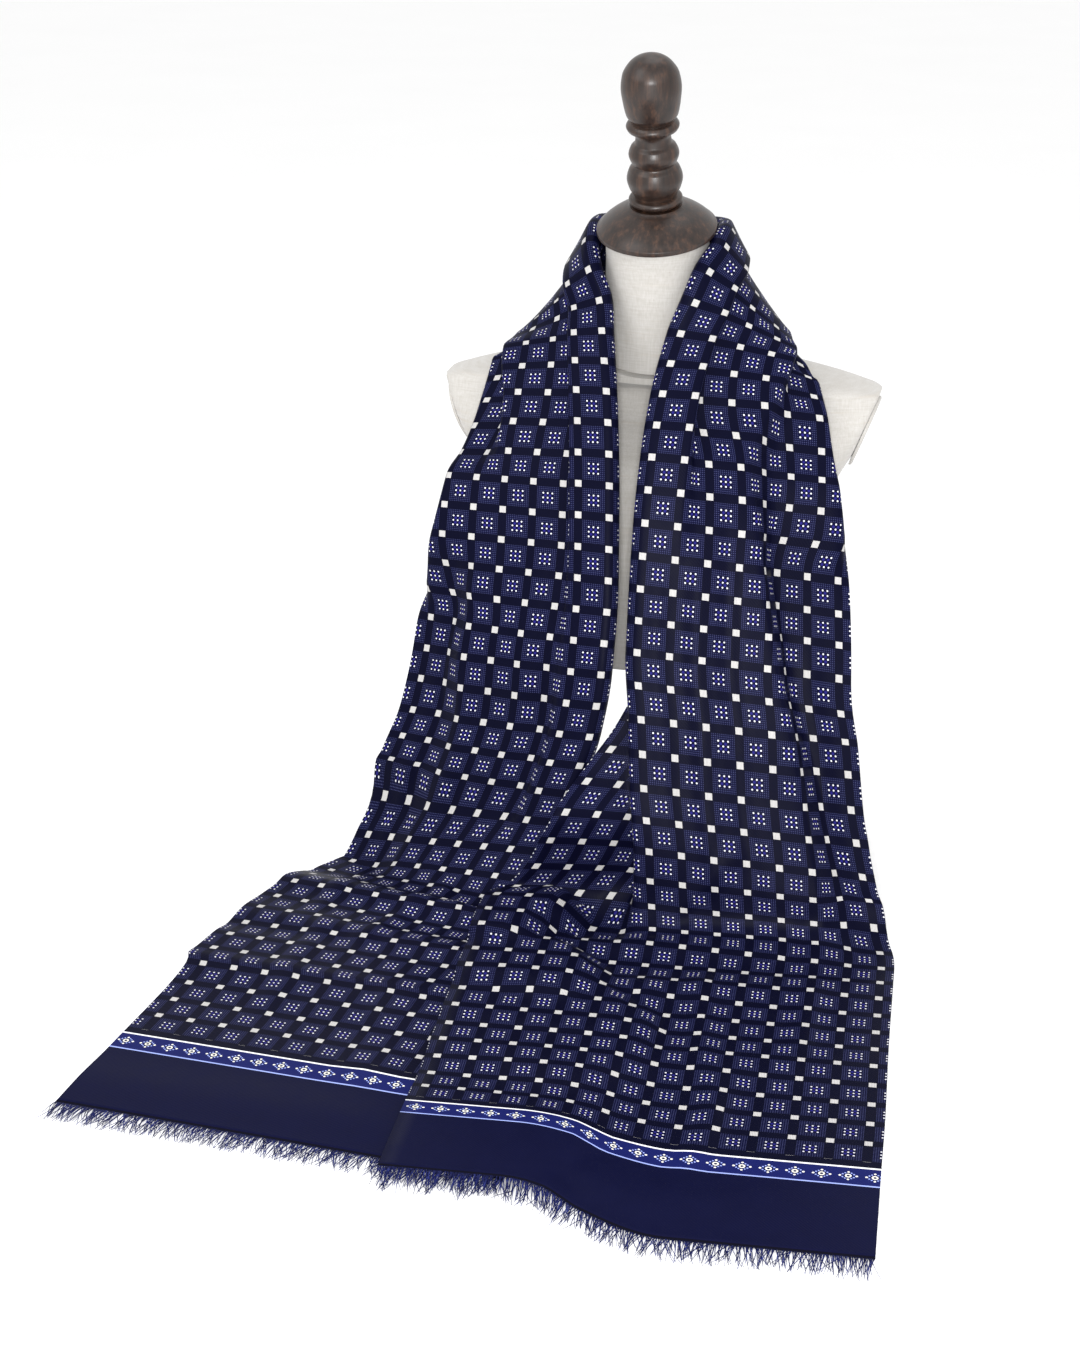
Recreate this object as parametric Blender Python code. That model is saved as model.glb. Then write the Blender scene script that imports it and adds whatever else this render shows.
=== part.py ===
"""A printed silk scarf, 318 x 2160 mm with fringed ends, hung round the neck of a limbless
linen dress form with a dark turned-wood neck cap and finial. Metres, +Z up; the form faces -Y.
The origin is the middle of the stand's underside, on the floor."""

import math

import bmesh
import bpy
import numpy as np
from mathutils import Matrix, Vector

MM = 0.001
GAP = 0.3                    # mm left between neighbouring pieces
SEAM_GAP = 0.5               # mm of cloth left out between two stretches, 0.3 where they bend

# The scarf. Rows are counted along the cloth, 25 mm apart, from the last row of the print.
ROW = 25.0                   # mm from one row of the print to the next
CLOTH_WIDTH = 318.0          # mm from selvedge to selvedge
HEM_ROW = -5.2               # the hem, past the last row of the print
LANDING_ROW = 10.0           # where the cloth comes down to the floor
SHOULDER_ROW = 29.6          # where it reaches the shoulder
NECK_ROW = 33.2              # where the fall meets the stretch round the neck
BACK_ROW = 38.0              # the middle of the back of the neck
WALL = 1.2                   # mm thick cloth
CREASE_AT = 160.0            # mm of cloth, from the inner selvedge, to the chest crease
UNDER_ROLL = 2.0             # mm, bend radius where the hidden layer turns back
PLEAT_ROLL = 1.9             # mm, bend radius of the smaller pleats
EDGE_ROLL = 3.3              # mm, bend radius of the outer edge where it is folded under
FLOOR_LIFT = 0.6             # mm from the floor to the middle of the cloth laid on it

# The fringe.
FRINGE_LENGTH = 25.0
FRINGE_STRANDS = 58          # at each end
STRIP_DEPTH = 2.0            # mm, the backing strip along the hem
STRIP_HEIGHT = 1.2

# The dress form.
BASE_RADIUS = 105.0
BASE_HEIGHT = 14.0
POLE_RADIUS = 12.5
TORSO_BOTTOM = 159.0
NECK_TILT = 16.8             # degrees that the neck leans forward
CAP_CENTRE = (0.0, -28.0, 507.0)
NECK_LENGTH = 98.0           # mm from the neck seam up to the cap
SEGMENTS_ROUND = 28

# The right half of the scarf, seen from the front: a row for each station, in mm and degrees.
# x, y, z is where the inner fold lies; yaw and dip turn the cloth's width away from it.
# fold is the width turned under there, and under the part of it in the first hidden layer;
# turn and roll are the fold's angle and bend radius, double is the angle at which the rest
# turns back, and swing turns the free flap forwards.
# crease is the chest crease's angle and mid the width across it; place, ridge and flat are the
# outer ridge's place, angle and width.
# wrap bends the whole front backwards; edge is the width folded under at the outer selvedge;
# drawn is how far the inner part is drawn up along the cloth.
RIGHT = """
 row  x    y     z yaw  dip fold under turn double roll swing crease mid place ridge flat wrap edge drawn
-5.2 60 -636     0 3.6    0  120    12    0      0  3.2     0      0   7   262     0   22    0    0    45
-3.2 57 -586     0 3.6    0  120    12    0      0  3.2     0      0   7   262     0   22    0    0    38
-1.2 54 -536     0 3.6    0  120    12    0      0  3.2     0      0   7   262     0   22    0    0    26
   1 51 -481     0 3.6    0  120    12    0      0  3.2     0      0   7   262     0   22    0    0    12
   5 44 -381     0 3.6    0  120    12    0      0  3.2     0      0   7   262     0   22    0    0     0
   9 38 -281     0 3.4    0  120    12    0      0  3.2     0      0   7   262     0   22    0    0     0
10.4 36 -247     2 3.2    0  120    12   12     12  3.2     3      0   7   262     6   22    0    0     0
11.2 34 -231     8   3    0  120    12   40     40  3.2     8      0   7   262    14   22    2    0     0
  12 32 -225    22   3    2  120    13   80     80  3.2    12      0   7   263    30   22    4    0     0
  13 30 -222    42   3    3  120    14  125    125  3.2    18      0   7   261    40   22    6    0     0
  14 28 -218    65   4    4  120    16  160    160  3.2    19      0   7   259    48   22    8    0     0
  15 25 -212    88   5    4  120    21  180    180  3.6    22      0   7   256    53   22    8    0     0
  16 22 -204   111   5    4  120    30  180    180  4.2    14      0   7   254    58   22    8    0     0
  18 19 -188   161   5    4  120    46  180    180    6     6      0   7   246    66   22    8    0     0
  20 15 -171   209   6    5  120    55  180    180    8     0      0   7   239    70   22    6    0     0
  22 15 -158   256   7  5.5  120    55  180    180  8.4     0      0   7   229    70   22    7    0     0
  24 15 -143   304   8    5  120    55  180    180  8.4     0     25   4   219    66   22    6    8     0
  26 16 -124   351 8.5  3.8  120    55  180    180  8.4     0     75   4   212    45   21    5   14     0
  28 19 -101   395  12    3  120    55  180    180  8.2     0    150   6   236    50   12    4   20     0
  30 27  -77   437  17  9.5  120    55  180    180  7.6     0    180   7   250   110    7    4   18     0
  31 36  -68 459.7  23 19.5  120    55  180    180  7.2     0    180   7   250   160    7    4   18     0
  32 45  -58 482.7  29   33  120    55  180    180    7     0    180   7   250   180    7    3   18     0
  33 55  -39 499.7  36   45  120    55  180    180  6.6     0    180   7   250   180    7    2   18     0
  34 57  -18 508.7  44   53  120    55  180    180  6.2     0    180   7   250   180    7    0   18     0
  35 55    0 509.7  53   57  120    55  180    180  5.8     0    180   7   250   180    7    0   18     0
  36 46   16 508.7  64   58  120    55  180    180  5.8     0    180   7   250   180    7    0   18     0
  37 28   27 507.7  77   58  120    55  180    180  5.8     0    180   7   250   180    7    0   18     0
  38  0   31 507.7  90   58  120    55  180    180  5.8     0    180   7   250   180    7    0   18     0
"""
LEFT = """
 row     x      y     z  yaw  dip fold under turn double roll swing crease mid place ridge flat wrap edge drawn
-5.2   7.6 -589.2     0  4.4    0    0   112    0      0    2     0      0   7   250     0   20    0    0     0
   0  17.6 -459.2     0  4.4    0    0   112    0      0    2     0      0   7   250     0   20    0    0     0
   2  21.6 -409.2   0.5  4.4    0    0   112    0      0    2     0      0   7   250     0   20    0    0     0
   3  23.6 -384.2   3.5  4.4    0    0   112    0      0    2     0      0   7   250     0   20    0    0     0
 3.4  16.5 -373.5     6  4.4    0    5   112  180      0    2     0      0   7   250     0   20    0    0     0
 3.8   9.6 -363.9   5.5  4.5    0   14   112  180      0    2     0      0   7   250     0   20    0    0     0
   5 -12.3 -334.8     6    5    0   42   112  180      0    2     0      0   7   250     0   20    0    0     0
   6 -31.4 -314.3   7.2  6.5    1   64   112  180      0    2     0      0   7   250     0   20    0    0     0
   7 -50.4   -295   8.4  8.4    1   86   112  180      0  2.2     0      0   7   250     0   20    0    0     0
   8 -66.3 -277.7     9   11    1  106   112  180      0  2.4     0      0   7   250     0   20    0    0     0
   9   -75   -262    11   14    1  120   112  180      0  2.6     0      0   7   250     0   20    0    0     0
  10   -70   -250    13   17    2  120   112  180      0    3     0      0   7   250     4   20    0    0     0
  11   -66   -233    17 19.5    4  120   112  180      0  3.2     0      0   7   250    10   20    2    0     0
  12   -60   -217    30   18    7  120   112  180      0  3.4     0      0   7   250    20   20    4    0     0
  13   -52   -206    50   17    8  120    80  180     40    5     0      0   7   250    20   20    4    0     0
  14   -43   -199    73   16    7  120    62  180    110    7     0     30   4   248    20   20    5    0     0
  15   -35   -194    96   12    4  120    55  180    180    8     0     60   4   246    20   20    6    0     0
  17   -20   -186   142   10    3  120    55  180    180    8     0     58   4   250    26   20    8    0     0
  19   -13   -178   191   10    2  120    55  180    180    8     0     35   4   258    36   18    9    0     0
  21   -12   -163   237    8    1  120    55  180    180    8     0     58   4   252    36   16    7    8     0
  23   -15   -146   282    7  0.5  120    55  180    180  8.4     0     85   4   240     0   15    4   20     0
  25   -19   -127   327    7    1  120    55  180    180  8.4     0     92   4   240     0    8    3   28     0
26.2   -22   -116   354    8    2  120    55  180    180  8.4     0    105   5   236    45   10    4   30     0
  28 -27.5  -98.5   394   11    3  120    55  180    180  8.2     0    150   6   240   100    9    4   24     0
  30   -35    -77   436   18  9.5  120    55  180    180  7.6     0    180   7   250   165    7    4   18     0
  31   -39    -65 456.7   23 19.5  120    55  180    180  7.2     0    180   7   250   180    7    4   18     0
  32   -49    -58 478.7   29   33  120    55  180    180    7     0    180   7   250   180    7    3   18     0
  33   -56    -39 497.7   36   45  120    55  180    180  6.6     0    180   7   250   180    7    2   18     0
  34   -57    -18 507.7   44   53  120    55  180    180  6.2     0    180   7   250   180    7    0   18     0
  35   -55      0 509.7   53   57  120    55  180    180  5.8     0    180   7   250   180    7    0   18     0
  36   -46     16 508.7   64   58  120    55  180    180  5.8     0    180   7   250   180    7    0   18     0
  37   -28     27 507.7   77   58  120    55  180    180  5.8     0    180   7   250   180    7    0   18     0
  38     0     31 507.7   90   58  120    55  180    180  5.8     0    180   7   250   180    7    0   18     0
"""

# Soft waves of the laid ends: the row where each crest lies at the inner and outer selvedge,
# its height there in mm, and its half-width in rows.
RIGHT_WAVES = """
inner outer inner_high outer_high half
9.6   10.8   9          0          1.0
6.6    8.6   7          1          1.3
2.8    4.0   4          1          1.6
-4.0  -3.0   5          0          1.6
"""
LEFT_WAVES = """
inner outer inner_high outer_high half
8.8    9.6  16          2          1.1
5.6    6.8   8          2          1.2
1.6    2.8   4          1          1.6
-3.4  -3.8   2          1          1.6
"""

# The torso's rings: height, half-width, how far the front and back reach, squareness, and the
# lean that brings the top ones parallel to the neck seam.
TORSO = """
z      half  front  back  square  lean
159    118    -78    74    2.3     0
166    122    -81    77    2.3     0
205    126    -86    82    2.3     0
255    132    -92    86    2.4     0
300    142    -88    88    2.4     0
325    154    -80    88    2.6     0
346    168    -58    86    2.7     0
366    180    -38    80    2.7     0
379    180    -34    70    2.7     2
386    158    -36    62    2.6     5
391    128    -40    56    2.4     9
396     98    -44    54    2.2    12
403     72    -50    53    2.1    15
409     56    -50    52    2.0    16.8
"""
PLATE_TOP = (178.0, 384.0)   # x, z of the arm plate's upper and lower ends
PLATE_FOOT = (150.0, 312.0)
PLATE_MIDDLE_Y = 8.0
PLATE_HALF_HEIGHT = 30.0
PLATE_HALF_DEPTH = 30.0

# The neck above its seam: mm up from the seam along the neck, radius.
NECK = """
up    radius
0     53
14    49
34    45
60    42
86    40.5
98    40.5
"""

# The cap and finial: mm up the neck's axis from the cap's rim, radius.
CAP = """
up    radius
0      8
0     45.5
1.2   47
4     47
5.2   45.6
9     42
15    34
20    24.5
22    20.5
23    20.5
"""
FINIAL = """
up    radius
23.3  17
26    20.3
28    20.8
30    19.5
31    16.6
38    20
45    21.6
53    19.4
57    16.2
59    17.6
65    19.4
71    17.4
74    14.3
79    13.6
83    15
84.4  19.2
88    20.4
91    18.6
92    16.6
97    19.8
108   22
118   23
128   21.6
136   17
141   11
143.5  5
"""


def table(text):
    """Read a table with a heading line: a dictionary of columns."""
    lines = [line.split() for line in text.strip().splitlines()]
    columns = zip(*[[float(v) for v in line] for line in lines[1:]])
    return {name: np.array(values) for name, values in zip(lines[0], columns)}


def smooth(x, xs, ys):
    """A smooth curve through (xs, ys) that doesn't overshoot."""
    steps = np.diff(xs)
    slopes = np.diff(ys) / steps
    ends = np.concatenate(([slopes[0]], slopes, [slopes[-1]]))
    before, after = ends[:-1], ends[1:]
    same = before * after > 0
    tangents = np.where(same, 2 * before * after / np.where(same, before + after, 1), 0)
    k = int(np.clip(np.searchsorted(xs, x) - 1, 0, len(steps) - 1))
    t = (x - xs[k]) / steps[k]
    return (
        (1 + 2 * t) * (1 - t) ** 2 * ys[k]
        + t * (1 - t) ** 2 * steps[k] * tangents[k]
        + t * t * (3 - 2 * t) * ys[k + 1]
        + t * t * (t - 1) * steps[k] * tangents[k + 1]
    )


def station(half, row):
    """All the columns of one half of the scarf, at a row."""
    return {name: smooth(row, half["row"], half[name]) for name in half if name != "row"}


def ease(t):
    """0 to 1 with soft ends."""
    t = min(max(t, 0.0), 1.0)
    return t * t * (3 - 2 * t)


def pieces_of_width(at):
    """The cloth's width as straight and bent pieces: (length, turn in degrees, steps), from the
    inner selvedge to the outer one."""
    turned_in = at["fold"]
    fold = min(math.pi * at["roll"], 0.9 * turned_in + 2.4)
    back = min(math.pi * UNDER_ROLL, 0.1 * turned_in + 0.8)
    under = min(at["under"], 0.94 * max(turned_in - back - fold / 2, 1))
    flap = max(turned_in - under - back - fold / 2, 1.5)
    beneath = min(under + 0.3 * fold, 0.6 * flap)
    hinge = min(6, 0.2 * flap)
    free = flap - beneath - hinge
    small = math.pi * PLEAT_ROLL
    outer = math.pi * EDGE_ROLL
    first = CREASE_AT - max(turned_in, fold / 2 + under + back + flap) - fold / 2
    second = at["place"] - CREASE_AT - at["mid"] - 2 * small
    third = CLOTH_WIDTH - at["place"] - at["flat"] - 2 * small - outer - at["edge"]
    return [
        (free, 0, 2),
        (hinge, at["swing"], 1),
        (beneath, 0, 1),
        (back, at["double"], 2),
        (under, 0, 1),
        (fold, -at["turn"], 3),
        (first, 0, 2),
        (small, -at["crease"], 2),
        (at["mid"], 0, 1),
        (small, at["crease"], 2),
        (second, 0, 2),
        (small, -at["ridge"], 2),
        (at["flat"], 0, 1),
        (small, at["ridge"], 2),
        (third, 0, 2),
        (outer, -180 * ease(at["edge"] / 18), 3),
        (at["edge"], 0, 1),
    ]


def section(at):
    """Points across the cloth as (out, proud, width) in mm: out from the inner fold, proud of
    the front, and the distance across the cloth from its inner selvedge."""
    pieces = pieces_of_width(at)
    points = [(0.0, 0.0, 0.0)]
    angle = -sum(turn for _, turn, _ in pieces[:6])
    fold = 0
    for index, (length, turn, steps) in enumerate(pieces):
        for _ in range(steps):
            out, proud, width = points[-1]
            step = max(length, 0.4) / steps
            front = abs(width + step / 2 - at["fold"]) / (CLOTH_WIDTH - at["fold"])
            if width < at["fold"] and at["double"] > 90:
                front = min(front, at["under"] / (CLOTH_WIDTH - at["fold"]))
            bent = at["wrap"] * ease(front)
            way = math.radians(angle + turn / steps / 2 - bent)
            points.append((out + step * math.cos(way), proud + step * math.sin(way), width + step))
            angle += turn / steps
        if index == 5:
            fold = len(points) - 1
    shift_out, shift_proud, _ = points[fold]
    return [(out - shift_out, proud - shift_proud, width) for out, proud, width in points]


def wave_height(waves, row, width):
    """How high the laid cloth stands off the floor in its waves."""
    across = width / CLOTH_WIDTH
    high = 0.0
    for k in range(len(waves["half"])):
        crest = waves["inner"][k] + (waves["outer"][k] - waves["inner"][k]) * across
        top = waves["inner_high"][k] + (waves["outer_high"][k] - waves["inner_high"][k]) * across
        high += top * ease(1 - abs(row - crest) / waves["half"][k])
    return high


def fold_line(half, side, row):
    """Where the inner fold lies at a row, and the way that the cloth's width runs from it."""
    at = station(half, row)
    yaw = math.radians(at["yaw"])
    dip = math.radians(at["dip"])
    across = Vector(
        (side * math.cos(dip) * math.cos(yaw), math.cos(dip) * math.sin(yaw), -math.sin(dip))
    )
    return Vector((at["x"], at["y"], at["z"])), across


def cloth_row(half, waves, side, row):
    """One row of points across the middle of the cloth; side is 1 for the right half and -1
    for the left."""
    at = station(half, row)
    fold, across = fold_line(half, side, row)
    fold_ahead, across_ahead = fold_line(half, side, row + 0.4)
    fold_behind, across_behind = fold_line(half, side, row - 0.4)
    row_points = []
    for out, proud, width in section(at):
        along = fold_ahead - fold_behind + (across_ahead - across_behind) * out
        if row < 9:
            along.z = 0
        if row > BACK_ROW - 0.45:
            along = Vector((-side, 0, 0))
        along.normalize()
        proud_way = across.cross(along) * side
        proud_way.normalize()
        p = fold + across * out + proud_way * proud
        p += along * at["drawn"] * ease((190 - width) / 110)
        if row < LANDING_ROW + 3:
            p.z += wave_height(waves, row, at["fold"] + out)
        p.z = max(p.z, 0) + FLOOR_LIFT
        row_points.append(p)
    return row_points


def rows_between(start, end, step):
    """Evenly spaced rows from start to end."""
    count = max(1, round(abs(end - start) / step))
    return [start + (end - start) * k / count for k in range(count + 1)]


def stretch(half, waves, side, rows):
    """The rows of points of one stretch of the cloth, each with the way that the cloth runs
    there, from the rows just before and after it."""
    step = math.copysign(0.1, rows[-1] - rows[0])
    grid = []
    for row in rows:
        behind = cloth_row(half, waves, side, row - step)
        if abs(row - BACK_ROW) < 0.05:
            other = cloth_row(half, waves, side, BACK_ROW - 0.1)
            mirrored = [Vector((-p.x, p.y, p.z)) for p in other]
            behind, ahead = (other, mirrored) if step > 0 else (mirrored, other)
        else:
            ahead = cloth_row(half, waves, side, row + step)
        grid.append((cloth_row(half, waves, side, row), behind, ahead))
    return grid


def lying(half, waves, side, outward):
    """Close-set points on the upper side of a laid end and its fringe, as an array."""
    points = []
    for row in rows_between(HEM_ROW, LANDING_ROW + 1.6, 0.2):
        across = cloth_row(half, waves, side, row)
        for a, b in zip(across, across[1:]):
            count = max(1, round((b - a).length / 7))
            points += [a.lerp(b, k / count) for k in range(count)]
        points.append(across[-1])
        if row == HEM_ROW:
            hem = list(points)
    for reach in (6, 12, 18, FRINGE_LENGTH + 2):
        points += [p + outward * reach + Vector((0, 0, 1.4)) for p in hem]
    return np.array([tuple(p) for p in points])


def ground(p, below, full=30.0, none=54.0):
    """How high a point has to be to lie clear of what is below it."""
    near = np.hypot(below[:, 0] - p.x, below[:, 1] - p.y)
    close = near < none
    if not close.any():
        return 0.0
    fade = 1 - np.clip((near[close] - full) / (none - full), 0, 1)
    return float(np.max((below[close, 2] + WALL + 2.2) * fade))


def rest_on(grid, below):
    """Lift the laid points of a grid clear of the cloth that lies under it."""
    for station_rows in grid:
        for row in station_rows:
            for p in row:
                if p.z < 32:
                    p.z = max(p.z, ground(p, below))


def new_object(name, mesh, material):
    """Link a mesh into the scene as a named object with its material."""
    made = bpy.data.objects.new(name, mesh)
    mesh.materials.append(material)
    bpy.context.collection.objects.link(made)
    return made


def cloth_wall(name, grid, material):
    """A closed wall, WALL mm thick, round the rows of middle points that stretch() gives."""
    rows, columns = len(grid), len(grid[0][0])
    bm = bmesh.new()
    faces = []
    for points, behind, ahead in grid:
        for c in range(columns):
            across = points[min(c + 1, columns - 1)] - points[max(c - 1, 0)]
            normal = across.cross(ahead[c] - behind[c])
            normal.normalize()
            faces.append((points[c], normal))
    fronts = [bm.verts.new((p + n * WALL / 2) * MM) for p, n in faces]
    backs = [bm.verts.new((p - n * WALL / 2) * MM) for p, n in faces]
    for r in range(rows - 1):
        for c in range(columns - 1):
            a, b = r * columns + c, r * columns + c + 1
            d, e = a + columns, b + columns
            bm.faces.new((fronts[a], fronts[b], fronts[e], fronts[d]))
            bm.faces.new((backs[a], backs[d], backs[e], backs[b]))
    rim = list(range(columns))
    rim += [r * columns + columns - 1 for r in range(1, rows)]
    rim += [(rows - 1) * columns + c for c in range(columns - 2, -1, -1)]
    rim += [r * columns for r in range(rows - 2, 0, -1)]
    for a, b in zip(rim, rim[1:] + rim[:1]):
        corners = [fronts[b], fronts[a], backs[a], backs[b]]
        top = max(range(4), key=lambda k: corners[k].co.z * 3 + corners[k].co.y)
        corners = corners[top:] + corners[:top]
        bm.faces.new(corners[:3])
        bm.faces.new((corners[0], corners[2], corners[3]))
    bmesh.ops.recalc_face_normals(bm, faces=bm.faces[:])
    mesh = bpy.data.meshes.new(name)
    bm.to_mesh(mesh)
    bm.free()
    mesh.shade_smooth()
    return new_object(name, mesh, material)


def fringe(name, hem, outward, material, seed, below):
    """Strands in a comb, their roots fused into a narrow strip just off the hem."""
    rng = np.random.default_rng(seed)
    lengths = [0.0]
    for a, b in zip(hem, hem[1:]):
        lengths.append(lengths[-1] + (b - a).length)

    def on_hem(along):
        k = min(max(int(np.searchsorted(lengths, along)) - 1, 0), len(hem) - 2)
        t = (along - lengths[k]) / (lengths[k + 1] - lengths[k])
        return hem[k].lerp(hem[k + 1], t)

    bm = bmesh.new()
    margin = 1.5
    pitch = (lengths[-1] - 2 * margin) / FRINGE_STRANDS
    root = 0.42 * pitch
    stops = [margin]
    for k in range(FRINGE_STRANDS):
        middle = margin + pitch * (k + 0.5)
        stops += [middle - root / 2, middle + root / 2]
    stops.append(lengths[-1] - margin)
    backs = [stops[0]] + [k for k in lengths if stops[0] + 2 < k < stops[-1] - 2] + [stops[-1]]
    inner = WALL / 2 + GAP

    def line(places, reach):
        low, high = [], []
        for place in places:
            p = on_hem(place) + outward * reach
            low.append(bm.verts.new(Vector((p.x, p.y, p.z - STRIP_HEIGHT / 2)) * MM))
            high.append(bm.verts.new(Vector((p.x, p.y, p.z + STRIP_HEIGHT / 2)) * MM))
        return low, high

    front_low, front_high = line(stops, inner + STRIP_DEPTH)
    back_low, back_high = line(backs, inner)
    bm.faces.new(front_high + back_high[::-1])
    bm.faces.new(front_low[::-1] + back_low)
    for k in range(len(back_low) - 1):
        bm.faces.new((back_low[k], back_low[k + 1], back_high[k + 1], back_high[k]))
    bm.faces.new((front_low[0], back_low[0], back_high[0], front_high[0]))
    bm.faces.new((front_low[-1], front_high[-1], back_high[-1], back_low[-1]))
    along_hem = (hem[-1] - hem[0]).normalized() * 0.45
    for k in range(len(stops) - 1):
        corners = [front_low[k], front_low[k + 1], front_high[k + 1], front_high[k]]
        if k % 2 == 0:
            bm.faces.new(corners)
            continue
        length = FRINGE_LENGTH * rng.uniform(0.86, 1.0) - inner - STRIP_DEPTH
        lean = rng.uniform(-0.4, 0.4) * length
        middle = on_hem((stops[k] + stops[k + 1]) / 2)
        tip = middle + outward * (inner + STRIP_DEPTH + length) + along_hem * lean
        bed = 0.0 if below is None else ground(tip, below, 6, 12) - WALL
        tip.z = max(bed, 0.0) + 0.25 + rng.uniform(0, 1.1)
        up = Vector((0, 0, 0.9))
        tips = [tip - along_hem, tip + along_hem, tip + along_hem + up, tip - along_hem + up]
        ends = [bm.verts.new(t * MM) for t in tips]
        for j in range(4):
            i = (j + 1) % 4
            bm.faces.new((corners[j], corners[i], ends[i], ends[j]))
        bm.faces.new(ends)
    bmesh.ops.recalc_face_normals(bm, faces=bm.faces[:])
    bmesh.ops.triangulate(bm, faces=bm.faces[:])
    mesh = bpy.data.meshes.new(name)
    bm.to_mesh(mesh)
    bm.free()
    return new_object(name, mesh, material)


def skin_of_rings(name, rings, material, placed=None):
    """A closed body through level rings of points, capped at both ends."""
    bm = bmesh.new()
    loops = [[bm.verts.new(Vector(p) * MM) for p in ring] for ring in rings]
    for lower, upper in zip(loops, loops[1:]):
        for k in range(len(lower)):
            j = (k + 1) % len(lower)
            bm.faces.new((lower[k], lower[j], upper[j], upper[k]))
    bm.faces.new(loops[0][::-1])
    bm.faces.new(loops[-1])
    bmesh.ops.recalc_face_normals(bm, faces=bm.faces[:])
    mesh = bpy.data.meshes.new(name)
    bm.to_mesh(mesh)
    bm.free()
    mesh.shade_smooth()
    mesh.set_sharp_from_angle(angle=math.radians(50))
    made = new_object(name, mesh, material)
    if placed is not None:
        made.matrix_world = placed
    return made


def turned(name, profile, material, placed=None, around=SEGMENTS_ROUND):
    """A round body from a table of heights and radii."""
    rings = []
    for up, radius in zip(profile["up"], profile["radius"]):
        ring = []
        for k in range(around):
            angle = 2 * math.pi * k / around
            ring.append((radius * math.cos(angle), radius * math.sin(angle), up))
        rings.append(ring)
    return skin_of_rings(name, rings, material, placed)


def neck_place(up):
    """The frame on the leaning neck, this many mm above the cap's rim plane."""
    lean = Matrix.Rotation(math.radians(NECK_TILT), 4, "X")
    centre = Vector(CAP_CENTRE) * MM
    return Matrix.Translation(centre) @ lean @ Matrix.Translation((0, 0, up * MM))


def plate_x(z):
    """The arm plate's plane: x at a height."""
    (top_x, top_z), (foot_x, foot_z) = PLATE_TOP, PLATE_FOOT
    return foot_x + (z - foot_z) * (top_x - foot_x) / (top_z - foot_z)


def torso_ring(half, front, back, square, z, lean, count=36):
    """A ring of the torso, cut flat at both sides where the arm plates sit."""
    ring = []
    on_plate = PLATE_FOOT[1] < z < PLATE_TOP[1] + 3
    limit = plate_x(z) if on_plate else 2 * half
    for k in range(count):
        angle = 2 * math.pi * (k + 0.5) / count
        cosine, sine = math.cos(angle), math.sin(angle)
        x = half * math.copysign(abs(cosine) ** (2 / square), cosine)
        reach = back if sine > 0 else -front
        y = reach * math.copysign(abs(sine) ** (2 / square), sine)
        rise = y * math.tan(math.radians(lean))
        ring.append((max(-limit, min(limit, x)), y, z + rise))
    return ring


def arm_plate(name, side, material):
    """The oval disc that closes the form where an arm would be."""
    top, foot = Vector((PLATE_TOP[0], 0, PLATE_TOP[1])), Vector((PLATE_FOOT[0], 0, PLATE_FOOT[1]))
    up = (top - foot).normalized()
    outward = Vector((up.z, 0, -up.x))
    middle = (top + foot) / 2 + Vector((0, PLATE_MIDDLE_Y, 0))
    rings = []
    for off, inset in ((GAP, 0), (GAP + 1.8, 0), (GAP + 2.6, 1)):
        ring = []
        for k in range(SEGMENTS_ROUND):
            angle = 2 * math.pi * k / SEGMENTS_ROUND
            p = middle + outward * off + up * (PLATE_HALF_HEIGHT - inset) * math.sin(angle)
            p.y += (PLATE_HALF_DEPTH - inset) * math.cos(angle)
            ring.append((side * p.x, p.y, p.z))
        rings.append(ring)
    skin_of_rings(name, rings, material)


def finish(name, colour, roughness, metallic=0.0):
    """A plain material in the piece's colour."""
    made = bpy.data.materials.new(name)
    made.use_nodes = True
    shader = made.node_tree.nodes["Principled BSDF"]
    shader.inputs["Base Color"].default_value = (*colour, 1)
    shader.inputs["Roughness"].default_value = roughness
    shader.inputs["Metallic"].default_value = metallic
    return made


def clear_scene():
    for old in list(bpy.data.objects):
        bpy.data.objects.remove(old, do_unlink=True)


def build_form():
    linen = finish("linen", (0.76, 0.75, 0.71), 0.9)
    wood = finish("dark turned wood", (0.05, 0.03, 0.025), 0.45)
    metal = finish("stand metal", (0.3, 0.3, 0.31), 0.35, 0.9)
    rings = table(TORSO)
    names = ("half", "front", "back", "square", "z", "lean")
    torso = [torso_ring(*[rings[name][k] for name in names]) for k in range(len(rings["z"]))]
    skin_of_rings("form_torso", torso, linen)
    arm_plate("arm_plate_right", 1, linen)
    arm_plate("arm_plate_left", -1, linen)
    neck = table(NECK)
    neck["up"] = neck["up"] - NECK_LENGTH - GAP
    turned("form_neck", neck, linen, neck_place(0))
    turned("neck_cap", table(CAP), wood, neck_place(0))
    turned("finial", table(FINIAL), wood, neck_place(0), around=20)
    base = {
        "up": np.array([0.0, BASE_HEIGHT * 0.6, BASE_HEIGHT * 0.9, BASE_HEIGHT]),
        "radius": np.array([BASE_RADIUS, BASE_RADIUS, BASE_RADIUS - 3, BASE_RADIUS - 8]),
    }
    turned("stand_base", base, metal)
    pole = {
        "up": np.array([BASE_HEIGHT + GAP, TORSO_BOTTOM - GAP]),
        "radius": np.array([POLE_RADIUS, POLE_RADIUS]),
    }
    turned("stand_pole", pole, metal)


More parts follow.
